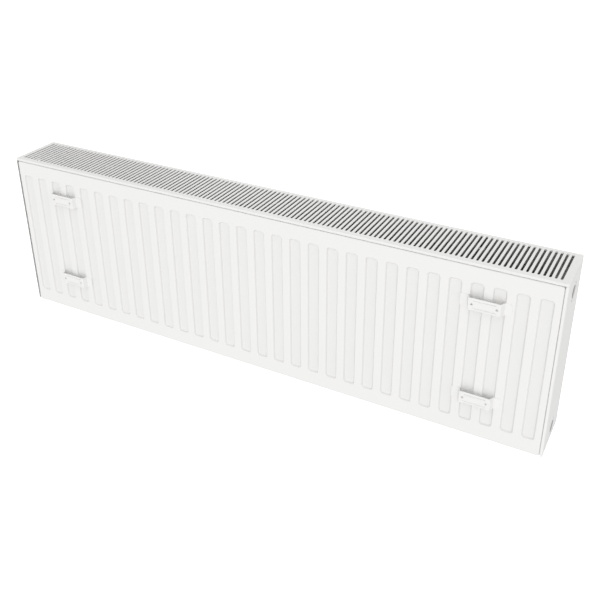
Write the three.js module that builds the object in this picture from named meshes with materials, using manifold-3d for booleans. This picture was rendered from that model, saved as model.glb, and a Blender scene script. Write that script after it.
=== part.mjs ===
// A double panel steel radiator with two convectors, a top grille and two side covers.
// Millimetres, +Z up. X runs along the radiator, and -Y is the wall side, where the hanging lugs are.
// The origin is under the middle of the whole object, at the height of the panels' bottom edges.
import * as THREE from 'three';
import { mergeGeometries, mergeVertices } from 'three/addons/utils/BufferGeometryUtils.js';
import Module from 'manifold-3d';

const wasm = await Module();
wasm.setup();

// Overall sizes
const casingLength = 1004.4;
const casingDepth = 98.3;
const casingHeight = 300;
const fitGap = 0.3;

// The welded water panels
const panelLength = 995;
const panelHeight = 294.8;
const sheet = 1.2;
const recessDepth = 3;
const panelThickness = 2 * (sheet + recessDepth) + fitGap;
const panelCorner = 4;

// The recesses pressed into each sheet, which leave the water channels between them
const recessCount = 30;
const recessPitch = 32.89;
const recessWidth = 18.2;
const recessBottom = 29;
const recessTop = 268;
const recessCorner = 3.2;
const endRecessBottom = 46;
const endRecessTop = 243;

// The corrugated convector sheets
const finSheet = 0.5;
const finDepth = 35;
const finFlat = 10;
const finBottom = 32;
const finTop = 260;
const footCount = 29;

// The header connections
const portFromEnd = 20;
const portHeights = { bottom: 25, top: 264 };
const headerRadius = 13;
const headerBore = 9.5;
const bossRadius = 13.5;
const portBore = 9.3;
const roundSides = 16;

// The casing sheets
const lip = 4.2;
const sideLip = 3.8;
const casingEdge = 1.2;
const coverSheet = 1.2;
const coverBottom = 0.8;
const coverHole = 15.8;
const tabLength = 18;
const tabWidth = 20;
const tabHeight = 150;

// The grille's slots and clips
const grilleSheet = 0.9;
const slotCount = 125;
const slotPitch = 7.89;
const slotWidth = 3.5;
const slotMargin = 9;
const clipWidth = 12;
const clipSheet = 0.8;
const clipDrop = 22;
const clipReach = 7;
const clipKick = { down: 4, inwards: 2 };
const clipSpacing = 355;

// The hanging lugs, whose feet stand on ridges
const lugStandoff = 9;
const lugSheet = 1.8;
const lugHeight = 20;
const lugFoot = 38.2;
const lugFootInner = 29;
const lugBridge = 23.4;
const lugCentre = 392.7;
const lugHoleSpacing = 37;
const lugHole = 2;
const lugHeights = { lower: 73.5, upper: 238.3 };

const rear = -(casingDepth - lugStandoff) / 2;
const front = rear + casingDepth;
const middle = (rear + front) / 2;
const casingEnd = casingLength / 2;
const grilleBottom = casingHeight - lip;

const radiator = new THREE.Group();

function whitePaint(shade = 0xf1f1ef) {
  return new THREE.MeshStandardMaterial({ color: shade, roughness: 0.38, metalness: 0 });
}

function springSteel() {
  return new THREE.MeshStandardMaterial({ color: 0xb9bcc0, roughness: 0.35, metalness: 0.9 });
}

function addPiece(name, geometry, material, group = radiator) {
  const mesh = new THREE.Mesh(geometry, material);
  mesh.name = name;
  group.add(mesh);
  return mesh;
}

function toSolid(geometry) {
  const bare = geometry.clone();
  bare.deleteAttribute('normal');
  bare.deleteAttribute('uv');
  const merged = mergeVertices(bare, 1e-4);
  const vertProperties = new Float32Array(merged.attributes.position.array);
  const triVerts = new Uint32Array(merged.index.array);
  return new wasm.Manifold(new wasm.Mesh({ numProp: 3, vertProperties, triVerts }));
}

function toGeometry(solid) {
  const mesh = solid.getMesh();
  const geometry = new THREE.BufferGeometry();
  geometry.setAttribute('position', new THREE.BufferAttribute(mesh.vertProperties, 3));
  geometry.setIndex(new THREE.BufferAttribute(mesh.triVerts, 1));
  return geometry;
}

// A box between a low and a high value on each axis.
function block(...spans) {
  const size = spans.map(([low, high]) => high - low);
  const centre = spans.map(([low, high]) => (low + high) / 2);
  const geometry = new THREE.BoxGeometry(...size);
  geometry.translate(...centre);
  return geometry;
}

// An outline in X and Y pulled up along Z.
function upright(points, low, high) {
  const shape = new THREE.Shape(points.map(([x, y]) => new THREE.Vector2(x, y)));
  const geometry = new THREE.ExtrudeGeometry(shape, { depth: high - low, bevelEnabled: false });
  geometry.translate(0, 0, low);
  return geometry;
}

// An outline in X and Z pulled along Y.
function across(points, low, high) {
  const geometry = upright(points.map(([x, z]) => [x, -z]), low, high);
  geometry.rotateX(-Math.PI / 2);
  return geometry;
}

// A round bar along X or Y, whose middle line passes through the sideways place and the height.
function bar(axis, radius, low, high, sideways, height) {
  const geometry = new THREE.CylinderGeometry(radius, radius, high - low, roundSides);
  geometry.rotateY(Math.PI / roundSides);
  const centre = (low + high) / 2;
  if (axis === 'x') {
    geometry.rotateZ(-Math.PI / 2);
    geometry.translate(centre, sideways, height);
  } else {
    geometry.translate(sideways, centre, height);
  }
  return geometry;
}

function unit(x, y) {
  const length = Math.hypot(x, y);
  return length > 0 ? [x / length, y / length] : null;
}

// The outline of a strip of even thickness that follows a bent centre line.
function strip(line, thickness) {
  const offset = (side) => line.map(([x, y], i) => {
    const before = line[Math.max(i - 1, 0)];
    const after = line[Math.min(i + 1, line.length - 1)];
    const back = unit(x - before[0], y - before[1]) ?? unit(after[0] - x, after[1] - y);
    const next = unit(after[0] - x, after[1] - y) ?? back;
    const normal = unit(-(back[1] + next[1]), back[0] + next[0]);
    const reach = side * thickness / 2 / (normal[1] * next[0] - normal[0] * next[1]);
    return [x + normal[0] * reach, y + normal[1] * reach];
  });
  return [...offset(-1), ...offset(1).reverse()];
}

// Pressed panel sheets

// A rectangle in X and Z with its corners cut off at 45 degrees.
function cutCorners(halfX, low, high, corner) {
  if (corner === 0) return [[-halfX, low], [halfX, low], [halfX, high], [-halfX, high]];
  return [
    [-halfX + corner, low], [halfX - corner, low],
    [halfX, low + corner], [halfX, high - corner],
    [halfX - corner, high], [-halfX + corner, high],
    [-halfX, high - corner], [-halfX, low + corner],
  ];
}

// Every recess of a sheet as a row of separate prisms, grown by a wall's thickness for their backs.
function recessRow(grow, corner, shortEnds, low, high) {
  const prisms = [];
  for (let i = 0; i < recessCount; i += 1) {
    const isEnd = shortEnds && (i === 0 || i === recessCount - 1);
    const bottom = (isEnd ? endRecessBottom : recessBottom) - grow;
    const top = (isEnd ? endRecessTop : recessTop) + grow;
    const outline = cutCorners(recessWidth / 2 + grow, bottom, top, corner);
    const prism = across(outline, low, high);
    prism.translate((i - (recessCount - 1) / 2) * recessPitch, 0, 0);
    prisms.push(prism);
  }
  return toSolid(mergeGeometries(prisms));
}

// A shallow pressed pan with its face at y = 0 and its rim and recesses reaching back to y = depth.
function pressedPan(corner, shortEnds) {
  const depth = sheet + recessDepth;
  const half = panelLength / 2;
  const pan = toSolid(across(cutCorners(half, 0, panelHeight, panelCorner), 0, depth));
  const inside = cutCorners(half - sheet, sheet, panelHeight - sheet, panelCorner);
  const hollow = toSolid(across(inside, sheet, depth + 1));
  const backs = recessRow(sheet, corner, shortEnds, sheet / 2, depth);
  const cuts = recessRow(0, corner, shortEnds, -1, recessDepth);
  return pan.subtract(hollow).add(backs).subtract(cuts);
}

function addPanelSheets() {
  const outer = toGeometry(pressedPan(recessCorner, false));
  const holes = [];
  for (const end of [-1, 1]) {
    for (const height of Object.values(portHeights)) {
      holes.push(bar('y', headerBore, -1, panelThickness, end * (casingEnd - portFromEnd), height));
    }
  }
  const inner = toGeometry(pressedPan(0, true).subtract(toSolid(mergeGeometries(holes))));
  addPiece('rear_outer_sheet', outer, whitePaint()).position.y = rear;
  addPiece('front_inner_sheet', inner, whitePaint(0xe9e9e7)).position.y = front - panelThickness;
  const rearInner = addPiece('rear_inner_sheet', inner.clone(), whitePaint(0xe9e9e7));
  rearInner.rotation.z = Math.PI;
  rearInner.position.y = rear + panelThickness;
  const frontOuter = addPiece('front_outer_sheet', outer.clone(), whitePaint());
  frontOuter.rotation.z = Math.PI;
  frontOuter.position.y = front;
}

// Convectors

function corrugation() {
  const line = [];
  const low = finSheet / 2;
  const high = finDepth - finSheet / 2;
  for (let i = 0; i < 2 * footCount - 1; i += 1) {
    const centre = (i / 2 - (footCount - 1) / 2) * recessPitch;
    const level = i % 2 === 0 ? low : high;
    line.push([centre - finFlat / 2, level]);
    line.push([centre + finFlat / 2, level]);
  }
  return upright(strip(line, finSheet), finBottom, finTop);
}

function addConvectors() {
  const seat = panelThickness + fitGap;
  addPiece('rear_convector', corrugation(), whitePaint(0xe4e4e2)).position.y = rear + seat;
  const other = addPiece('front_convector', corrugation(), whitePaint(0xe4e4e2));
  other.rotation.z = Math.PI;
  other.position.y = front - seat;
}

// Header connections: a cross tube between the two panels and a threaded boss welded to its flank

function headerTube(end, height) {
  const x = end * (casingEnd - portFromEnd);
  const seat = panelThickness + fitGap;
  const tube = toSolid(bar('y', headerRadius, rear + seat, front - seat, x, height));
  const bore = toSolid(bar('y', headerBore, rear, front, x, height));
  const [low, high] = end < 0 ? [x - 2 * headerRadius, x] : [x, x + 2 * headerRadius];
  const mouth = toSolid(bar('x', portBore, low, high, middle, height));
  return toGeometry(tube.subtract(bore).subtract(mouth));
}

function portBoss(end, height) {
  const x = end * (casingEnd - portFromEnd);
  const face = end * (casingEnd - fitGap);
  const [low, high] = end < 0 ? [face, x] : [x, face];
  const boss = toSolid(bar('x', bossRadius, low, high, middle, height));
  const bore = toSolid(bar('x', portBore, low - 1, high + 1, middle, height));
  const tube = toSolid(bar('y', headerRadius + fitGap, rear, front, x, height));
  return toGeometry(boss.subtract(tube).subtract(bore));
}

function addHeaderConnections() {
  for (const [side, end] of [['left', -1], ['right', 1]]) {
    for (const [level, height] of Object.entries(portHeights)) {
      addPiece(`header_tube_${level}_${side}`, headerTube(end, height), whitePaint(0xe9e9e7));
      addPiece(`port_boss_${level}_${side}`, portBoss(end, height), whitePaint(0xe9e9e7));
    }
  }
}

// Hanging lugs

function lugStrap(centre, height) {
  const face = lugSheet / 2 - lugStandoff;
  const seat = -fitGap - lugSheet / 2;
  const line = [
    [-lugFoot, seat], [-lugFootInner, seat], [-lugBridge, face],
    [lugBridge, face], [lugFootInner, seat], [lugFoot, seat],
  ];
  const strap = toSolid(upright(strip(line, lugSheet), -lugHeight / 2, lugHeight / 2));
  const holes = [-1, 1].map((side) => bar('y', lugHole, -2 * lugStandoff, 0, side * lugHoleSpacing / 2, 0));
  const geometry = toGeometry(strap.subtract(toSolid(mergeGeometries(holes))));
  geometry.translate(centre, rear, height);
  return geometry;
}

function addHangingLugs() {
  for (const [side, end] of [['left', -1], ['right', 1]]) {
    for (const [level, height] of Object.entries(lugHeights)) {
      addPiece(`hanging_lug_${level}_${side}`, lugStrap(end * lugCentre, height), whitePaint());
    }
  }
}

// Side covers

function sideCover(end) {
  const outer = end * casingEnd;
  const edge = end * (casingEnd - casingEdge);
  const inner = end * (casingEnd - coverSheet);
  const lipEdge = end * (casingEnd - sideLip);
  const outline = [
    [lipEdge, rear], [edge, rear], [outer, rear + casingEdge],
    [outer, front - casingEdge], [edge, front], [lipEdge, front],
    [lipEdge, front - coverSheet], [inner, front - coverSheet],
    [inner, rear + coverSheet], [lipEdge, rear + coverSheet],
  ];
  const shell = toSolid(upright(end < 0 ? outline.reverse() : outline, coverBottom, grilleBottom - fitGap));
  const xSpan = [outer - end * tabLength, inner + end * coverSheet / 2].sort((a, b) => a - b);
  const zSpan = [tabHeight - tabWidth / 2, tabHeight + tabWidth / 2];
  const seat = panelThickness + fitGap;
  const tabs = [
    block(xSpan, [rear + seat, rear + seat + coverSheet], zSpan),
    block(xSpan, [front - seat - coverSheet, front - seat], zSpan),
  ];
  const holes = Object.values(portHeights).map(
    (height) => bar('x', coverHole, outer - sideLip, outer + sideLip, middle, height));
  return toGeometry(shell.add(toSolid(mergeGeometries(tabs))).subtract(toSolid(mergeGeometries(holes))));
}

// Top grille

function grilleSlots() {
  const tip = slotWidth / 2;
  const [low, high] = [rear + slotMargin, front - slotMargin];
  const outline = [
    [-tip, low + tip], [0, low], [tip, low + tip],
    [tip, high - tip], [0, high], [-tip, high - tip],
  ];
  const slots = [];
  for (let i = 0; i < slotCount; i += 1) {
    const slot = upright(outline, grilleBottom, casingHeight + 1);
    slot.translate((i - (slotCount - 1) / 2) * slotPitch, 0, 0);
    slots.push(slot);
  }
  return toSolid(mergeGeometries(slots));
}

// A lid with chamfered edges, extruded too deep and cut off level at the lower edge of its lip.
function topGrille() {
  const edge = casingEdge;
  const shape = new THREE.Shape([
    new THREE.Vector2(edge - casingEnd, rear + edge), new THREE.Vector2(casingEnd - edge, rear + edge),
    new THREE.Vector2(casingEnd - edge, front - edge), new THREE.Vector2(edge - casingEnd, front - edge),
  ]);
  const depth = 2 * lip;
  const settings = { depth, bevelSize: edge, bevelThickness: edge, bevelSegments: 1 };
  const lid = new THREE.ExtrudeGeometry(shape, settings);
  lid.translate(0, 0, casingHeight - edge - depth);
  const inside = block(
    [grilleSheet - casingEnd, casingEnd - grilleSheet],
    [rear + grilleSheet, front - grilleSheet],
    [0, casingHeight - grilleSheet]);
  const below = block([-casingLength, casingLength], [-casingDepth, casingDepth], [0, grilleBottom]);
  return toGeometry(toSolid(lid).subtract(toSolid(below)).subtract(toSolid(inside)).subtract(grilleSlots()));
}

// A spring clip under the grille's long margin, whose leg presses on the inner side of a panel.
function grilleClip(side, x) {
  const wall = side < 0 ? rear : front;
  const leg = wall - side * (panelThickness + fitGap + clipSheet / 2);
  const top = casingHeight - grilleSheet - fitGap - clipSheet / 2;
  const line = [
    [leg + side * clipReach, top], [leg, top], [leg, top - clipDrop],
    [leg - side * clipKick.inwards, top - clipDrop - clipKick.down],
  ];
  const geometry = upright(strip(line, clipSheet), -clipWidth / 2, clipWidth / 2);
  // Y and Z of the bent strip were drawn as X and Y, so the axes turn round by one place.
  const turn = new THREE.Matrix4().set(0, 0, 1, x, 1, 0, 0, 0, 0, 1, 0, 0, 0, 0, 0, 1);
  geometry.applyMatrix4(turn);
  return geometry;
}

function addCasing() {
  addPiece('left_side_cover', sideCover(-1), whitePaint());
  addPiece('right_side_cover', sideCover(1), whitePaint());
  addPiece('top_grille', topGrille(), whitePaint());
  for (const [side, wall] of [['rear', -1], ['front', 1]]) {
    for (const [place, x] of [['left', -clipSpacing], ['middle', 0], ['right', clipSpacing]]) {
      addPiece(`grille_clip_${side}_${place}`, grilleClip(wall, x), springSteel());
    }
  }
}

addPanelSheets();
addConvectors();
addHeaderConnections();
addHangingLugs();
addCasing();

export default radiator;
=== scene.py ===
import bmesh
import bpy
from math import asin, cos, pi, radians, sin
from mathutils import Matrix, Vector


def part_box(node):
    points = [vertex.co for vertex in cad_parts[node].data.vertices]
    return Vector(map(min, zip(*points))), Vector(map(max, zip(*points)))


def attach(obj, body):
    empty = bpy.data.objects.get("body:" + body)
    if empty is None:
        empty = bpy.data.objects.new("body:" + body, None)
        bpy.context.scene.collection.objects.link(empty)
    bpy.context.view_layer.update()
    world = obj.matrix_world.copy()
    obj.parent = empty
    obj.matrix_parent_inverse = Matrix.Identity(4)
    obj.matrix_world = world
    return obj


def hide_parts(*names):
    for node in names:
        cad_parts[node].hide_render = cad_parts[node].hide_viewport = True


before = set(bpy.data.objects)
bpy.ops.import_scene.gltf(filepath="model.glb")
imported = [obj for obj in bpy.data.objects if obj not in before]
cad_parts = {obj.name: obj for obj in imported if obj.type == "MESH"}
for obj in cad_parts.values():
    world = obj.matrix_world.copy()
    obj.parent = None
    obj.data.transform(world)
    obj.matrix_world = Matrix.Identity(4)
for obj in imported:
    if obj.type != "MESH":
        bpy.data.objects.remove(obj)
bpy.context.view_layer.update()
MM = 0.001


# ---- Camera ----------------------------------------------------------------
# The radiator is looked at from the wall side, from above and from its right end,
# through a normal lens that is slid down and to one side a little.

VIEW_TURN = radians(27.55)
VIEW_DIP = radians(26.6)
EYE = Vector((0.6374, -1.0559, 0.8579))

lens = bpy.data.cameras.new("view")
lens.sensor_width = 36
lens.lens = 49.64
lens.shift_x = -0.01685
lens.shift_y = -0.11146
lens.clip_start = 0.05
camera = bpy.data.objects.new("view", lens)
bpy.context.collection.objects.link(camera)
camera.location = EYE
camera.rotation_euler = (pi / 2 - VIEW_DIP, 0, VIEW_TURN)
bpy.context.scene.camera = camera


# ---- Outer panel sheets ----------------------------------------------------
# The two faces of the radiator are deep drawn from 1.2 mm steel sheet. Thirty upright
# recesses leave the water channels between them, and the rim turns back to be welded.
# They are sprayed with white powder coat and baked.

SHEET = 1.2 * MM
PITCH = 32.89 * MM
RECESS_COUNT = 30
RECESS_DEPTH = 3 * MM
RIM_DEPTH = 4.33 * MM
WALL_RUN = 2.8 * MM
WALL_STEPS = 8
FLAT_RING = 0.4 * MM
RECESS_HALF = 9.1 * MM + WALL_RUN / 2
RECESS_CORNER = 5.6 * MM
RECESS_LOW = 27.6 * MM - WALL_RUN / 2
RECESS_HIGH = 268 * MM + WALL_RUN / 2
RIM_ROUND = 2.4 * MM
RIM_STEPS = 6
PANEL_CORNER = 4 * MM
PAINT_WHITE = (0.86, 0.86, 0.855)
PANEL_MIDDLE = 4.5 * MM
PANEL_FACE = 49.15 * MM
# Painted shade in the recesses of the pressed sheets: how much darker their floors and their walls
# are painted.
RECESS_FLOOR_SHADE = 0.04
RECESS_WALL_SHADE = 0.2
SATIN = 0.42
PEEL = 0.06 * MM
SHARP = 40
MIX_COLOUR_A = 6
MIX_COLOUR_B = 7
MIX_COLOUR_OUT = 2


class Wire:
    """A socket in a finish's node tree. Sums and products of wires add Math nodes."""

    def __init__(self, tree, socket=None):
        self.tree = tree
        self.socket = socket

    def node(self, kind, settings, sockets, output=0):
        made = self.tree.nodes.new(kind)
        for name, value in settings.items():
            setattr(made, name, value)
        for name, value in sockets.items():
            if isinstance(value, Wire):
                self.tree.links.new(value.socket, made.inputs[name])
            else:
                made.inputs[name].default_value = value
        return Wire(self.tree, made.outputs[output])

    def maths(self, operation, *values):
        return self.node("ShaderNodeMath", {"operation": operation}, dict(enumerate(values)))

    def __add__(self, other):
        return self.maths("ADD", self, other)

    def __sub__(self, other):
        return self.maths("SUBTRACT", self, other)

    def __rsub__(self, other):
        return self.maths("SUBTRACT", other, self)

    def __mul__(self, other):
        return self.maths("MULTIPLY", self, other)

    def __pow__(self, other):
        return self.maths("POWER", self, other)

    def __lt__(self, other):
        return self.maths("LESS_THAN", self, other)

    __radd__ = __add__
    __rmul__ = __mul__


def new_finish(name):
    """An empty finish: its material, the wire that starts nodes, and its shader's sockets."""
    material = bpy.data.materials.new(name)
    material.use_nodes = True
    tree = material.node_tree
    shader = next(node for node in tree.nodes if node.type == "BSDF_PRINCIPLED")
    return material, Wire(tree), shader.inputs


def connect(wire, socket):
    wire.tree.links.new(wire.socket, socket)


def noise(start, place, scale, detail=2.0):
    return start.node("ShaderNodeTexNoise", {}, {"Vector": place, "Scale": scale, "Detail": detail})


def bumps(height, depth):
    """Fine relief: the normal of a surface that rises by depth where height goes from 0 to 1."""
    return height.node(
        "ShaderNodeBump", {}, {"Height": height, "Distance": depth, "Strength": 1.0})


def blend_colour(factor, first, second):
    """The first colour where factor is 0, the second where it is 1. Each may be a wire."""
    first, second = (
        shade if isinstance(shade, Wire) else (*shade, 1) for shade in (first, second))
    sockets = {"Factor": factor, MIX_COLOUR_A: first, MIX_COLOUR_B: second}
    return factor.node("ShaderNodeMix", {"data_type": "RGBA"}, sockets, MIX_COLOUR_OUT)


def enamel(name, colour, roughness, peel, pressed=False):
    """Baked powder coat: a fine orange peel, and a film a shade warmer where it is thin. On a pressed
    sheet the recesses, and most of all their walls, are painted darker: painted shade that stands in
    for the shade falling in them."""
    material, start, shader = new_finish(name)
    place = start.node("ShaderNodeTexCoord", {}, {}, "Object")
    grain = noise(start, place, 420.0)
    cloud = noise(start, place, 9.0, 3.0)
    warm = [value * shade for value, shade in zip(colour, (0.985, 0.98, 0.965))]
    film = blend_colour(cloud, colour, warm)
    if pressed:
        y = start.node("ShaderNodeSeparateXYZ", {}, {"Vector": place}, "Y")
        from_middle = start.maths("ABSOLUTE", y - PANEL_MIDDLE)
        depth = (PANEL_FACE - from_middle) * (1 / RECESS_DEPTH)
        sunk = start.maths("MINIMUM", start.maths("MAXIMUM", depth, 0.0), 1.0)
        # Painted shade: the recess floors are darkened a little, and their walls most.
        painted_recess_shade = sunk * RECESS_FLOOR_SHADE + sunk * (1 - sunk) * RECESS_WALL_SHADE
        film = blend_colour(painted_recess_shade, film, (0, 0, 0))
    connect(film, shader["Base Color"])
    connect(grain * 0.06 + cloud * 0.05 + (roughness - 0.055), shader["Roughness"])
    connect(bumps(grain, peel), shader["Normal"])
    return material


white_enamel = enamel("white_enamel", PAINT_WHITE, SATIN, PEEL)
panel_enamel = enamel("panel_enamel", PAINT_WHITE, SATIN, PEEL, True)


def rounded_face(bm, x, z, half_x, half_z, corner, turns=6):
    """One face in the XZ plane with round corners, looking towards -Y."""
    made = bmesh.ops.create_grid(bm, x_segments=1, y_segments=1, size=1)["verts"]
    bmesh.ops.scale(bm, vec=(half_x, half_z, 1), verts=made)
    bmesh.ops.rotate(bm, matrix=Matrix.Rotation(pi / 2, 3, "X"), verts=made)
    bmesh.ops.translate(bm, vec=(x, 0, z), verts=made)
    bmesh.ops.bevel(
        bm, geom=made, offset=corner, affect="VERTICES",
        segments=turns, profile=0.5, material=-1)
    return newest_faces(bm, 1)[0]


def newest_faces(bm, count):
    bm.faces.ensure_lookup_table()
    return [bm.faces[i] for i in range(len(bm.faces) - count, len(bm.faces))]


def shrink(bm, faces, run, sink):
    """Insets each face by run, and sinks it."""
    bmesh.ops.inset_individual(bm, faces=faces, thickness=run, depth=-sink, use_even_offset=True)


def drawn_rim(bm, middle, half_x, half_z, corner, depth, edge_round):
    """A rim drawn back from a rounded outline. Gives the edges that its face is filled from."""
    outline = rounded_face(bm, 0, middle, half_x, half_z, corner)
    bmesh.ops.translate(bm, vec=(0, depth, 0), verts=outline.verts[:])
    face = bmesh.ops.extrude_discrete_faces(bm, faces=[outline])["faces"]
    bmesh.ops.translate(bm, vec=(0, edge_round - depth, 0), verts=face[0].verts[:])
    for step in range(RIM_STEPS):
        low = pi / 2 * step / RIM_STEPS
        high = pi / 2 * (step + 1) / RIM_STEPS
        shrink(bm, face, edge_round * (cos(low) - cos(high)), edge_round * (sin(low) - sin(high)))
    shrink(bm, face, FLAT_RING, 0)
    edges = list(face[0].edges)
    bmesh.ops.delete(bm, geom=face, context="FACES_ONLY")
    return edges


def round_hole(bm, x, z, radius, steps=32):
    """The edges of a round hole in the XZ plane."""
    made = bmesh.ops.create_circle(bm, radius=radius, segments=steps, cap_ends=False)["verts"]
    bmesh.ops.rotate(bm, matrix=Matrix.Rotation(pi / 2, 3, "X"), verts=made)
    bmesh.ops.translate(bm, vec=(x, 0, z), verts=made)
    return list({edge for vert in made for edge in vert.link_edges})


def fill(bm, edges):
    bmesh.ops.triangle_fill(bm, use_beauty=True, use_dissolve=False, edges=edges)


def pressed_sheet(half, height, end_low, end_high, holes):
    """The open skin of a pressed sheet: its face at y = 0, its rim and recesses behind it."""
    bm = bmesh.new()
    edges = drawn_rim(bm, height / 2, half, height / 2, PANEL_CORNER, RIM_DEPTH, RIM_ROUND)
    for i in range(RECESS_COUNT):
        is_end = i in (0, RECESS_COUNT - 1)
        low = end_low if is_end else RECESS_LOW
        high = end_high if is_end else RECESS_HIGH
        x = (i - (RECESS_COUNT - 1) / 2) * PITCH
        half_x = RECESS_HALF + FLAT_RING
        half_z = (high - low) / 2 + FLAT_RING
        rounded_face(bm, x, (low + high) / 2, half_x, half_z, RECESS_CORNER + FLAT_RING)
    floors = newest_faces(bm, RECESS_COUNT)
    for floor in floors:
        edges += list(floor.edges)
    for x, z, radius in holes:
        edges += round_hole(bm, x, z, radius)
    fill(bm, edges)
    shrink(bm, floors, FLAT_RING, 0)
    for step in range(WALL_STEPS):
        before = cos(pi * step / WALL_STEPS) / 2
        after = cos(pi * (step + 1) / WALL_STEPS) / 2
        shrink(bm, floors, WALL_RUN / WALL_STEPS, RECESS_DEPTH * (before - after))
    shrink(bm, floors, FLAT_RING, 0)
    bmesh.ops.recalc_face_normals(bm, faces=bm.faces)
    return bm


def face_towards(bm, direction):
    """Turns the whole skin over if most of it looks the other way."""
    total = sum((face.normal * face.calc_area() for face in bm.faces), Vector())
    if total.dot(direction) < 0:
        bmesh.ops.reverse_faces(bm, faces=bm.faces)


def settle(bm, name, material, sharp=SHARP):
    """Turns a finished bmesh into an object at the origin. Folds over sharp degrees stay crisp."""
    mesh = bpy.data.meshes.new(name)
    bm.to_mesh(mesh)
    bm.free()
    mesh.materials.append(material)
    mesh.shade_smooth()
    mesh.set_sharp_from_angle(angle=radians(sharp))
    piece = bpy.data.objects.new(name, mesh)
    bpy.context.collection.objects.link(piece)
    return piece


def give_thickness(piece, thickness, side=-1):
    """Makes a skin into sheet, with crisp cut edges and flats that shade flat."""
    solid = piece.modifiers.new("thickness", "SOLIDIFY")
    solid.thickness = thickness
    solid.offset = side
    solid.use_even_offset = True
    evaluated = piece.evaluated_get(bpy.context.evaluated_depsgraph_get())
    mesh = bpy.data.meshes.new_from_object(evaluated)
    piece.modifiers.clear()
    piece.data = mesh
    mesh.set_sharp_from_angle(angle=radians(SHARP))
    even = piece.modifiers.new("even_shading", "WEIGHTED_NORMAL")
    even.keep_sharp = True


def panel_sheet(name, node, turned, material, end_low=RECESS_LOW, end_high=RECESS_HIGH, holes=()):
    low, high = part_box(node)
    bm = pressed_sheet(high[0], high[2], end_low, end_high, holes)
    face_towards(bm, Vector((0, -1, 0)))
    if turned:
        bmesh.ops.rotate(bm, matrix=Matrix.Rotation(pi, 3, "Z"), verts=bm.verts)
    bmesh.ops.translate(bm, vec=(0, high[1] if turned else low[1], 0), verts=bm.verts)
    piece = settle(bm, name, material)
    give_thickness(piece, SHEET)
    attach(piece, "radiator")
    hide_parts(node)


panel_sheet("rear_face_sheet", "rear_outer_sheet", False, panel_enamel)
panel_sheet("front_face_sheet", "front_outer_sheet", True, panel_enamel)


# ---- Inner panel sheets ----------------------------------------------------
# The inner half of each water panel has the same pressing. Its two end recesses are shorter, which
# leaves flat ground for the header holes. The coat is thin in here, and it is painted dark grey as
# painted shade for the dark inside of the radiator.

PORT_FROM_END = 20 * MM
PORT_HEIGHTS = {"bottom": 25 * MM, "top": 264 * MM}
HEADER_BORE = 9.5 * MM
INNER_END_LOW = 46 * MM - WALL_RUN / 2
INNER_END_HIGH = 243 * MM + WALL_RUN / 2
# Dark grey for the inside: painted shade, not the coat's own colour.
INNER_SHADE_WHITE = (0.34, 0.34, 0.335)
THIN_PEEL = 0.04 * MM

inner_shade_enamel = enamel("inner_shade_enamel", INNER_SHADE_WHITE, 0.5, THIN_PEEL)
port_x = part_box("top_grille")[1][0] - PORT_FROM_END
header_holes = [
    (end * port_x, height, HEADER_BORE) for end in (-1, 1) for height in PORT_HEIGHTS.values()]
for side, is_turned in (("rear", True), ("front", False)):
    panel_sheet(
        side + "_back_sheet", side + "_inner_sheet", is_turned, inner_shade_enamel,
        INNER_END_LOW, INNER_END_HIGH, header_holes)


# ---- Convectors ------------------------------------------------------------
# Each convector is one thin sheet, roll folded into deep fins. Its feet are spot welded to the water
# channels, and it only gets a thin dip coat, painted near black as painted shade for the dark inside
# of the radiator.

FIN_SHEET = 0.5 * MM
FIN_FLAT = 10 * MM
FIN_BEND = 1.8 * MM
FOOT_COUNT = 29
FIN_SHADE_GREY = (0.13, 0.13, 0.13)
RUN_RELIEF = 0.08 * MM


def dip_coat(name, colour):
    """Thin primer: runs down the fins a little, and is darker where the steel shows through."""
    material, start, shader = new_finish(name)
    place = start.node("ShaderNodeTexCoord", {}, {}, "Object")
    stretched = start.node("ShaderNodeMapping", {}, {"Vector": place, "Scale": (1, 1, 0.12)})
    runs = noise(start, stretched, 130.0, 3.0)
    grain = noise(start, place, 700.0)
    dark = [value * 0.8 for value in colour]
    connect(blend_colour(runs, colour, dark), shader["Base Color"])
    connect(runs * 0.15 + grain * 0.1 + 0.45, shader["Roughness"])
    connect(bumps(runs, RUN_RELIEF), shader["Normal"])
    return material


# The fins' near black grey is painted shade.
fin_shade_primer = dip_coat("fin_shade_primer", FIN_SHADE_GREY)


def convector(name, node, turned):
    low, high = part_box(node)
    depth = high[1] - low[1] - FIN_SHEET
    slope = PITCH / 2 - FIN_FLAT
    moves = ((FIN_FLAT, 0), (slope, depth), (FIN_FLAT, 0), (slope, -depth))
    bm = bmesh.new()
    first_x = -(FOOT_COUNT - 1) / 2 * PITCH - FIN_FLAT / 2
    edge = bm.edges.new([bm.verts.new((first_x, 0, z)) for z in (low[2], high[2])])
    for i in range(4 * (FOOT_COUNT - 1) + 1):
        run, rise = moves[i % 4]
        made = bmesh.ops.extrude_edge_only(bm, edges=[edge])["geom"]
        verts = {item for item in made if isinstance(item, bmesh.types.BMVert)}
        bmesh.ops.translate(bm, vec=(run, rise, 0), verts=list(verts))
        edges = [item for item in made if isinstance(item, bmesh.types.BMEdge)]
        edge = next(item for item in edges if set(item.verts) == verts)
    folds = [item for item in bm.edges if len(item.link_faces) == 2]
    bmesh.ops.bevel(
        bm, geom=folds, offset=FIN_BEND, affect="EDGES", segments=4, profile=0.5, material=-1)
    bmesh.ops.recalc_face_normals(bm, faces=bm.faces)
    foot = FIN_SHEET / 2
    if turned:
        bmesh.ops.rotate(bm, matrix=Matrix.Rotation(pi, 3, "Z"), verts=bm.verts)
    bmesh.ops.translate(bm, vec=(0, high[1] - foot if turned else low[1] + foot, 0), verts=bm.verts)
    piece = settle(bm, name, fin_shade_primer)
    give_thickness(piece, FIN_SHEET, 0)
    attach(piece, "radiator")
    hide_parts(node)


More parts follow.
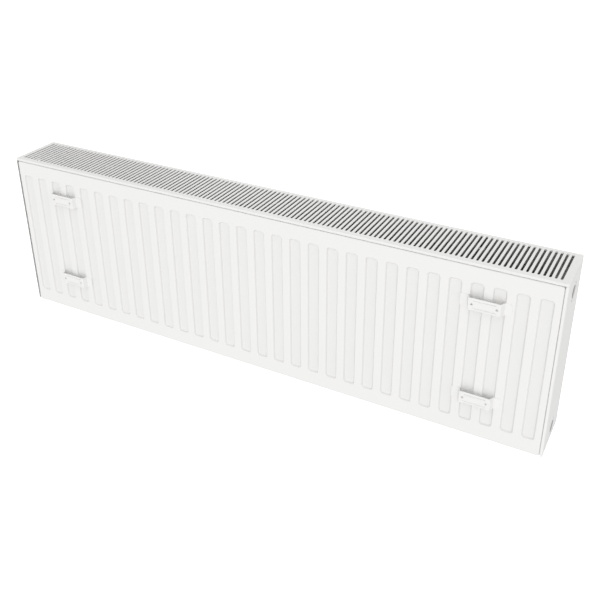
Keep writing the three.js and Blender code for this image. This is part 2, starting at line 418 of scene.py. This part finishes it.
convector("rear_fins", "rear_convector", False)
convector("front_fins", "front_convector", True)


# ---- Header tubes ----------------------------------------------------------
# A short thick tube joins the two panels at each corner. It is cut from pipe, drilled on
# its flank for the port, and welded all round to both inner sheets.

TUBE_RADIUS = 13 * MM
TUBE_WALL = TUBE_RADIUS - HEADER_BORE
PORT_BORE = 9.3 * MM
TUBE_CUTS = 36
SAME = 1e-7
BEAD = 1.5 * MM


def weld_ring(bm, centre):
    """A round weld bead along the rim of a header tube, which lies along Y."""
    made = bmesh.ops.create_circle(bm, radius=BEAD, segments=10, cap_ends=False)["verts"]
    bmesh.ops.translate(bm, vec=centre + Vector((TUBE_RADIUS, 0, 0)), verts=made)
    edges = list({edge for vert in made for edge in vert.link_edges})
    bmesh.ops.spin(
        bm, geom=made + edges, cent=centre, axis=(0, 1, 0), angle=2 * pi,
        steps=TUBE_CUTS, use_merge=True)


def header_tube(level, side, end):
    node = "header_tube_" + level + "_" + side
    low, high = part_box(node)
    middle = (low + high) / 2
    turn = pi * TUBE_RADIUS
    half = (high[1] - low[1]) / 2
    bm = bmesh.new()
    blank = rounded_face(bm, 0, 0, turn, half, FLAT_RING, 1)
    edges = list(blank.edges)
    bmesh.ops.delete(bm, geom=[blank], context="FACES_ONLY")
    hole = round_hole(bm, 0, 0, PORT_BORE)
    widen = asin(PORT_BORE / TUBE_RADIUS) * TUBE_RADIUS / PORT_BORE
    bmesh.ops.scale(bm, vec=(widen, 1, 1), verts=list({v for edge in hole for v in edge.verts}))
    fill(bm, edges + hole)
    for cut in range(1, TUBE_CUTS):
        place = Vector((turn * (2 * cut / TUBE_CUTS - 1), 0, 0))
        geom = bm.verts[:] + bm.edges[:] + bm.faces[:]
        bmesh.ops.bisect_plane(bm, geom=geom, plane_co=place, plane_no=(1, 0, 0), dist=SAME)
    for vert in bm.verts:
        angle = vert.co.x / TUBE_RADIUS
        along = vert.co.z
        vert.co = Vector((end * TUBE_RADIUS * cos(angle), along, TUBE_RADIUS * sin(angle)))
    bmesh.ops.remove_doubles(bm, verts=bm.verts, dist=0.02 * MM)
    bmesh.ops.recalc_face_normals(bm, faces=bm.faces)
    outward = sum(face.normal.dot(face.calc_center_median() * Vector((1, 0, 1))) for face in bm.faces)
    if outward < 0:
        bmesh.ops.reverse_faces(bm, faces=bm.faces)
    bmesh.ops.translate(bm, vec=(end * port_x, middle[1], PORT_HEIGHTS[level]), verts=bm.verts)
    # The tubes and their welds take the inner sheets' dark grey, which is painted shade.
    piece = settle(bm, "header_pipe_" + level + "_" + side, inner_shade_enamel)
    give_thickness(piece, TUBE_WALL)
    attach(piece, "radiator")
    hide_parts(node)
    welds = bmesh.new()
    for y in (low[1], high[1]):
        weld_ring(welds, Vector((end * port_x, y, PORT_HEIGHTS[level])))
    bmesh.ops.recalc_face_normals(welds, faces=welds.faces)
    beads = settle(welds, "header_welds_" + level + "_" + side, inner_shade_enamel)
    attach(beads, "radiator")


for side, end in (("left", -1), ("right", 1)):
    for level in PORT_HEIGHTS:
        header_tube(level, side, end)


# ---- Port bosses -----------------------------------------------------------
# A turned steel sleeve with a half inch pipe thread is welded over each drilled hole.
# It is painted with the rest, but the thread was plugged, so its steel is bare.

BOSS_RADIUS = 13.9 * MM
BOSS_ROOT = 2 * MM
BOSS_EDGE = 0.7 * MM
THREAD_PITCH = 1.81 * MM
THREAD_TURNS = 7
THREAD_DEPTH = 1.1 * MM
BOSS_STEPS = 40
BARE_EDGE = 1.3 * MM
BARE_RAGGED = 0.8 * MM
CUT_STEEL = (0.46, 0.45, 0.44)
MARK_RELIEF = 0.03 * MM


def port_finish(name, height):
    """White outside the bore, and bare grey steel with cutting marks inside it."""
    material, start, shader = new_finish(name)
    place = start.node("ShaderNodeTexCoord", {}, {}, "Object")
    y = start.node("ShaderNodeSeparateXYZ", {}, {"Vector": place}, "Y")
    z = start.node("ShaderNodeSeparateXYZ", {}, {"Vector": place}, "Z")
    from_axis = ((y - middle_y) ** 2 + (z - height) ** 2) ** 0.5
    ragged = noise(start, place, 600.0) * BARE_RAGGED
    bare = from_axis + ragged < PORT_BORE + BARE_EDGE
    marks = noise(start, place, 1500.0)
    connect(blend_colour(bare, PAINT_WHITE, CUT_STEEL), shader["Base Color"])
    connect(bare * 0.95, shader["Metallic"])
    connect(marks * 0.2 + 0.3, shader["Roughness"])
    connect(bumps(marks, MARK_RELIEF), shader["Normal"])
    return material


def port_boss(level, side, end, material):
    node = "port_boss_" + level + "_" + side
    low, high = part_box(node)
    face = high[0] if end > 0 else -low[0]
    root = port_x + BOSS_ROOT
    outline = [
        (root, BOSS_RADIUS), (face - BOSS_EDGE, BOSS_RADIUS), (face, BOSS_RADIUS - BOSS_EDGE),
        (face, PORT_BORE + 1.2 * BOSS_EDGE), (face - BOSS_EDGE, PORT_BORE + BOSS_EDGE / 3),
    ]
    for turn in range(THREAD_TURNS):
        start = face - BOSS_EDGE - turn * THREAD_PITCH
        outline.append((start - 0.45 * THREAD_PITCH, PORT_BORE - THREAD_DEPTH / 2))
        outline.append((start - 0.95 * THREAD_PITCH, PORT_BORE + THREAD_DEPTH / 2))
    outline.append((root + BOSS_EDGE, PORT_BORE))
    outline.append((root, PORT_BORE))
    bm = bmesh.new()
    verts = [bm.verts.new((end * x, middle_y, PORT_HEIGHTS[level] + r)) for x, r in outline]
    edges = [bm.edges.new((verts[i - 1], verts[i])) for i in range(len(verts))]
    bmesh.ops.spin(
        bm, geom=verts + edges, cent=(0, middle_y, PORT_HEIGHTS[level]), axis=(1, 0, 0),
        angle=2 * pi, steps=BOSS_STEPS, use_merge=True)
    bmesh.ops.remove_doubles(bm, verts=bm.verts, dist=0.01 * MM)
    bmesh.ops.recalc_face_normals(bm, faces=bm.faces)
    piece = settle(bm, "port_sleeve_" + level + "_" + side, material, 30)
    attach(piece, "radiator")
    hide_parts(node)


boss_low, boss_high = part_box("port_boss_top_right")
middle_y = (boss_low[1] + boss_high[1]) / 2
for level, height in PORT_HEIGHTS.items():
    finish = port_finish("port_steel_" + level, height)
    for side, end in (("left", -1), ("right", 1)):
        port_boss(level, side, end, finish)


# ---- Hanging lugs ----------------------------------------------------------
# Four straps are stamped from thick sheet: punched with two holes, grooved along both
# edges of the bridge, and bent out so that a wall hook drops in behind. The feet are
# pressed and spot welded into the ridges, and painted with the panel.

LUG_SHEET = 1.5 * MM
LUG_HALF = 38.2 * MM
LUG_HALF_HEIGHT = 10 * MM
LUG_FOOT_INNER = 28 * MM
LUG_BRIDGE = 23.4 * MM
LUG_CENTRE = 392.7 * MM
LUG_SUNK = 0.8 * MM
LUG_HOLE_OUT = 18.5 * MM
LUG_HOLE = 1.9 * MM
LUG_HEIGHTS = {"lower": 73.5 * MM, "upper": 238.3 * MM}
GROOVE_PLACE = 6.1 * MM
GROOVE_HALF = 1.1 * MM
GROOVE_DEPTH = 1.7 * MM
GROOVE_LEAN = 0.15
GROOVE_REACH = 18.5 * MM
GROOVE_FADE = 2.5 * MM
LUG_GRID = 0.5 * MM
LUG_CORNER = 1.6 * MM


def ease(value, start, end):
    """0 before start, 1 after end, and a smooth rise between."""
    part = min(max((value - start) / (end - start), 0), 1)
    return (1 - cos(pi * part)) / 2


def lug_rise(x, z, rise):
    """How far the strap stands off the panel at a place on it."""
    bridge = 1 - ease(abs(x), LUG_BRIDGE, LUG_FOOT_INNER)
    inside = 1 - ease(abs(x), GROOVE_REACH - GROOVE_FADE, GROOVE_REACH)
    groove = GROOVE_DEPTH * (1 - ease(abs(abs(z) - GROOVE_PLACE), 0, GROOVE_HALF))
    lean = GROOVE_LEAN * max(abs(z) - GROOVE_PLACE, 0)
    return rise * bridge - inside * (groove + lean)


def hanging_lug(level, side, end):
    node = "hanging_lug_" + level + "_" + side
    low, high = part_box(node)
    bm = bmesh.new()
    blank = rounded_face(bm, 0, 0, LUG_HALF, LUG_HALF_HEIGHT, LUG_CORNER, 4)
    edges = list(blank.edges)
    bmesh.ops.delete(bm, geom=[blank], context="FACES_ONLY")
    for hole in (-1, 1):
        edges += round_hole(bm, hole * LUG_HOLE_OUT, 0, LUG_HOLE, 16)
    fill(bm, edges)
    for axis, reach in ((Vector((1, 0, 0)), LUG_HALF), (Vector((0, 0, 1)), LUG_HALF_HEIGHT)):
        count = int(2 * reach / LUG_GRID)
        for cut in range(1, count):
            geom = bm.verts[:] + bm.edges[:] + bm.faces[:]
            place = axis * reach * (2 * cut / count - 1)
            bmesh.ops.bisect_plane(bm, geom=geom, plane_co=place, plane_no=axis, dist=SAME)
    face_towards(bm, Vector((0, -1, 0)))
    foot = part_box("rear_outer_sheet")[0][1] - LUG_SHEET + LUG_SUNK
    for vert in bm.verts:
        vert.co.y = foot - lug_rise(vert.co.x, vert.co.z, foot - low[1])
    bmesh.ops.translate(bm, vec=(end * LUG_CENTRE, 0, LUG_HEIGHTS[level]), verts=bm.verts)
    piece = settle(bm, "wall_lug_" + level + "_" + side, white_enamel)
    give_thickness(piece, LUG_SHEET)
    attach(piece, "radiator")
    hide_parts(node)


for side, end in (("left", -1), ("right", 1)):
    for level in LUG_HEIGHTS:
        hanging_lug(level, side, end)


# ---- Side covers -----------------------------------------------------------
# Each end is closed by a plate with two round port holes and a lip folded over each
# panel edge. Two zinc plated spring tabs, spot welded inside it, grip the panels, so that
# it pushes on and pulls off.

COVER_SHEET = 1.2 * MM
COVER_BEND = 2.4 * MM
COVER_LIPS = {"left": 2.6 * MM, "right": 4.4 * MM}
COVER_HOLE = 15 * MM
COVER_CORNER = 1.2 * MM
BEND_CUTS = 7
TAB_SHEET = 1 * MM
TAB_BEND = 1.6 * MM
TAB_FLAP = 8 * MM
TAB_TONGUE = 15 * MM
TAB_FLARE_START = 11 * MM
TAB_FLARE = radians(12)
TAB_LOW = 140.5 * MM
TAB_HIGH = 159.5 * MM
TAB_REAR_Y = -35.05 * MM
TAB_FRONT_Y = 44.05 * MM
TAB_CORNER = 1.5 * MM
ZINC_LIGHT = (0.66, 0.66, 0.65)
ZINC_DARK = (0.5, 0.51, 0.52)
GRAIN_RELIEF = 0.02 * MM


def zinc_plate(name):
    """Bright zinc on spring steel: clouded grey, with fine rolling marks."""
    material, start, shader = new_finish(name)
    place = start.node("ShaderNodeTexCoord", {}, {}, "Object")
    cloud = noise(start, place, 160.0, 3.0)
    grain = noise(start, place, 1200.0)
    connect(blend_colour(cloud, ZINC_LIGHT, ZINC_DARK), shader["Base Color"])
    connect(cloud * 0.2 + grain * 0.1 + 0.2, shader["Roughness"])
    shader["Metallic"].default_value = 0.95
    connect(bumps(grain, GRAIN_RELIEF), shader["Normal"])
    return material


spring_steel = zinc_plate("spring_steel")


def bend(bm, start, along, towards, radius, angle):
    """Folds what lies past a line of a flat sheet. start is on the line, along points past it."""
    arc = radius * angle
    for step in range(-1, BEND_CUTS + 2):
        reach = min(max(step, 0), BEND_CUTS) / BEND_CUTS * arc
        reach += FLAT_RING * (step > BEND_CUTS) - FLAT_RING * (step < 0)
        geom = bm.verts[:] + bm.edges[:] + bm.faces[:]
        bmesh.ops.bisect_plane(
            bm, geom=geom, plane_co=start + along * reach, plane_no=along, dist=SAME)
    for vert in bm.verts:
        reach = (vert.co - start).dot(along)
        if reach > SAME:
            turn = min(reach / radius, angle)
            rest = reach - radius * turn
            vert.co += along * (radius * sin(turn) + rest * cos(turn) - reach)
            vert.co += towards * (radius * (1 - cos(turn)) + rest * sin(turn))


def flat_blank(low, high, corner, holes):
    """A flat sheet in the YZ plane with round corners and round holes."""
    bm = bmesh.new()
    centre = ((low[0] + high[0]) / 2, (low[1] + high[1]) / 2)
    half = ((high[0] - low[0]) / 2, (high[1] - low[1]) / 2)
    outline = rounded_face(bm, *centre, *half, corner, 4)
    edges = list(outline.edges)
    bmesh.ops.delete(bm, geom=[outline], context="FACES_ONLY")
    for y, z, radius in holes:
        edges += round_hole(bm, y, z, radius, 48)
    fill(bm, edges)
    bmesh.ops.rotate(bm, matrix=Matrix.Rotation(pi / 2, 3, "Z"), verts=bm.verts)
    return bm


def side_cover(side, end):
    node = side + "_side_cover"
    low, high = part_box(node)
    flat_low = low[1] + COVER_BEND
    flat_high = high[1] - COVER_BEND
    lip = COVER_BEND * pi / 2 + COVER_LIPS[side] - COVER_BEND
    holes = [(middle_y, height, COVER_HOLE) for height in PORT_HEIGHTS.values()]
    bm = flat_blank((flat_low - lip, low[2]), (flat_high + lip, high[2]), COVER_CORNER, holes)
    face_towards(bm, Vector((end, 0, 0)))
    inwards = Vector((-end, 0, 0))
    bend(bm, Vector((0, flat_low, 0)), Vector((0, -1, 0)), inwards, COVER_BEND, pi / 2)
    bend(bm, Vector((0, flat_high, 0)), Vector((0, 1, 0)), inwards, COVER_BEND, pi / 2)
    bmesh.ops.translate(bm, vec=(high[0] if end > 0 else low[0], 0, 0), verts=bm.verts)
    piece = settle(bm, side + "_end_plate", white_enamel)
    give_thickness(piece, COVER_SHEET)
    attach(piece, side + "_cover")
    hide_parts(node)


def sprung_tab(side, end, name, y, out):
    """A bent strip: its flap lies flat inside the plate, its tongue grips the panel."""
    plate = end * (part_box("right_side_cover")[1][0] - COVER_SHEET)
    fold = y + out * (TAB_SHEET / 2 - TAB_BEND)
    across = sorted((fold - out * TAB_FLAP, fold + out * (TAB_BEND * pi / 2 + TAB_TONGUE)))
    bm = flat_blank((across[0], TAB_LOW), (across[1], TAB_HIGH), TAB_CORNER, ())
    face_towards(bm, Vector((end, 0, 0)))
    inwards = Vector((-end, 0, 0))
    bend(bm, Vector((0, fold, 0)), Vector((0, out, 0)), inwards, TAB_BEND, pi / 2)
    flare = Vector((-end * TAB_FLARE_START, y + out * TAB_SHEET / 2, 0))
    bend(bm, flare, inwards, Vector((0, -out, 0)), 3 * TAB_BEND, TAB_FLARE)
    bmesh.ops.translate(bm, vec=(plate, 0, 0), verts=bm.verts)
    piece = settle(bm, name, spring_steel)
    give_thickness(piece, TAB_SHEET)
    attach(piece, side + "_cover")


for side, end in (("left", -1), ("right", 1)):
    side_cover(side, end)
    sprung_tab(side, end, side + "_tab_rear", TAB_REAR_Y, -1)
    sprung_tab(side, end, side + "_tab_front", TAB_FRONT_Y, 1)


# ---- Top grille ------------------------------------------------------------
# The lid is drawn from thin sheet with a shallow lip all round, and 125 round ended
# slots are punched across it to let the warm air out. It is painted like the panels.

GRILLE_SHEET = 1.35 * MM
GRILLE_ROUND = 1.6 * MM
GRILLE_CORNER = 3 * MM
SLOT_COUNT = 125
SLOT_PITCH = 7.89 * MM
SLOT_HALF = 1.9 * MM
SLOT_MARGIN = 9 * MM


def top_lid():
    low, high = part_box("top_grille")
    half_y = (high[1] - low[1]) / 2
    bm = bmesh.new()
    edges = drawn_rim(bm, 0, high[0], half_y, GRILLE_CORNER, high[2] - low[2], GRILLE_ROUND)
    for i in range(SLOT_COUNT):
        x = (i - (SLOT_COUNT - 1) / 2) * SLOT_PITCH
        rounded_face(bm, x, 0, SLOT_HALF, half_y - SLOT_MARGIN, 0.98 * SLOT_HALF, 4)
    punched = newest_faces(bm, SLOT_COUNT)
    for slot in punched:
        edges += list(slot.edges)
    bmesh.ops.delete(bm, geom=punched, context="FACES_ONLY")
    fill(bm, edges)
    bmesh.ops.recalc_face_normals(bm, faces=bm.faces)
    face_towards(bm, Vector((0, -1, 0)))
    bmesh.ops.rotate(bm, matrix=Matrix.Rotation(-pi / 2, 3, "X"), verts=bm.verts)
    bmesh.ops.translate(bm, vec=(0, (low[1] + high[1]) / 2, high[2]), verts=bm.verts)
    piece = settle(bm, "slotted_lid", white_enamel)
    give_thickness(piece, GRILLE_SHEET)
    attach(piece, "grille")
    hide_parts("top_grille")


top_lid()


# ---- Grille clips ----------------------------------------------------------
# Six strips of zinc plated spring steel are spot welded under the lid. Each is bent down
# behind a panel, and its toe is kicked inwards, so the grille snaps on and lifts off.

CLIP_SHEET = 0.8 * MM
CLIP_BEND = 1.2 * MM
CLIP_DROP = 22 * MM
CLIP_TOE = 4 * MM
CLIP_KICK = radians(26)
CLIP_REACH = 7 * MM


def grille_clip(side, place, out):
    node = "grille_clip_" + side + "_" + place
    low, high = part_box(node)
    middle = (low[0] + high[0]) / 2
    edge = low[1] if out < 0 else high[1]
    leg = edge - out * (CLIP_REACH + CLIP_SHEET / 2)
    fold = leg + out * CLIP_BEND
    long = abs(edge - fold) + CLIP_BEND * pi / 2 + CLIP_DROP - CLIP_BEND
    ends = sorted((edge, edge - out * long))
    bm = bmesh.new()
    half = (ends[1] - ends[0]) / 2
    half_width = (high[0] - low[0]) / 2
    blank = rounded_face(bm, middle, sum(ends) / 2, half_width, half, CLIP_BEND, 4)
    bmesh.ops.rotate(bm, matrix=Matrix.Rotation(-pi / 2, 3, "X"), verts=blank.verts)
    face_towards(bm, Vector((0, 0, 1)))
    bmesh.ops.translate(bm, vec=(0, 0, high[2]), verts=bm.verts)
    down = Vector((0, 0, -1))
    bend(bm, Vector((0, fold, high[2])), Vector((0, -out, 0)), down, CLIP_BEND, pi / 2)
    kick = Vector((0, leg, high[2] - CLIP_DROP + CLIP_TOE))
    bend(bm, kick, down, Vector((0, -out, 0)), 2 * CLIP_BEND, CLIP_KICK)
    piece = settle(bm, "spring_clip_" + side + "_" + place, spring_steel)
    give_thickness(piece, CLIP_SHEET)
    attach(piece, "grille")
    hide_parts(node)


for side, out in (("rear", -1), ("front", 1)):
    for place in ("left", "middle", "right"):
        grille_clip(side, place, out)


# ---- Floor and light -------------------------------------------------------
# A white studio floor, and one very large soft light tent round the radiator. The tent is
# brightest on the wall side, and darker to the left, where a black flag stands close by.
# A weak softbox lights the room side. The floor throws no light back at the radiator.

FLOOR_SIZE = 12
TENT_LIGHT = 0.75
TENT_ABOVE = 0.12
TENT_FRONT = 0.78
TENT_LEFT = -0.3
TENT_RIGHT = 0.3
TENT_FOCUS = 3.0
TENT_SEEN = 1.1

floor_finish, start, shader = new_finish("studio_floor")
shader["Base Color"].default_value = (0.8, 0.8, 0.8, 1)
shader["Roughness"].default_value = 0.9
shader["Emission Color"].default_value = (1, 1, 1, 1)
shader["Emission Strength"].default_value = 1.0
bm = bmesh.new()
bmesh.ops.create_grid(bm, x_segments=1, y_segments=1, size=FLOOR_SIZE)
floor = settle(bm, "studio_floor", floor_finish)
floor.visible_diffuse = False
floor.visible_glossy = False

tent = bpy.data.worlds.new("light_tent")
tent.use_nodes = True
background = next(node for node in tent.node_tree.nodes if node.type == "BACKGROUND")
background.inputs["Color"].default_value = (1, 1, 1, 1)
start = Wire(tent.node_tree)
direction = start.node("ShaderNodeTexCoord", {}, {}, "Generated")
x, y, z = (start.node("ShaderNodeSeparateXYZ", {}, {"Vector": direction}, axis) for axis in "XYZ")
to_left = start.maths("MAXIMUM", x * -1, 0.0) ** TENT_FOCUS
to_right = start.maths("MAXIMUM", x, 0.0) ** TENT_FOCUS
to_front = start.maths("MAXIMUM", y * -1, 0.0) ** TENT_FOCUS
sideways = to_left * TENT_LEFT + to_right * TENT_RIGHT
lobes = z * TENT_ABOVE + sideways + to_front * TENT_FRONT
brightness = start.maths("MAXIMUM", lobes + TENT_LIGHT, 0.0)
seen = start.node("ShaderNodeLightPath", {}, {}, "Is Camera Ray")
connect(brightness + seen * (TENT_SEEN - brightness), background.inputs["Strength"])
bpy.context.scene.world = tent
bpy.context.scene.view_settings.view_transform = "Standard"


def softbox(name, place, target, width, height, strength):
    """A rectangular soft light that looks at a point. Its strength is in watts per square metre."""
    light = bpy.data.lights.new(name, "AREA")
    light.shape = "RECTANGLE"
    light.size = width
    light.size_y = height
    light.energy = strength * width * height
    holder = bpy.data.objects.new(name, light)
    bpy.context.collection.objects.link(holder)
    holder.location = place
    holder.rotation_euler = (Vector(target) - Vector(place)).to_track_quat("-Z", "Y").to_euler()


ROOM_BOX_PLACE = (-1.0, 3.0, 0.7)
ROOM_BOX_AIM = (0, 0, 0.15)
ROOM_BOX_SIZE = (2.4, 1.4)
ROOM_BOX_STRENGTH = 4.0

softbox("room_box", ROOM_BOX_PLACE, ROOM_BOX_AIM, *ROOM_BOX_SIZE, ROOM_BOX_STRENGTH)

FLAG_PLACE = (-0.6, 0.09, 0.15)
FLAG_HALF = 0.14

flag_cloth = dip_coat("flag_cloth", (0.01, 0.01, 0.01))
bm = bmesh.new()
bmesh.ops.create_grid(bm, x_segments=1, y_segments=1, size=FLAG_HALF)
bmesh.ops.rotate(bm, matrix=Matrix.Rotation(pi / 2, 3, "Y"), verts=bm.verts)
bmesh.ops.translate(bm, vec=FLAG_PLACE, verts=bm.verts)
flag = settle(bm, "black_flag", flag_cloth)
flag.visible_camera = False
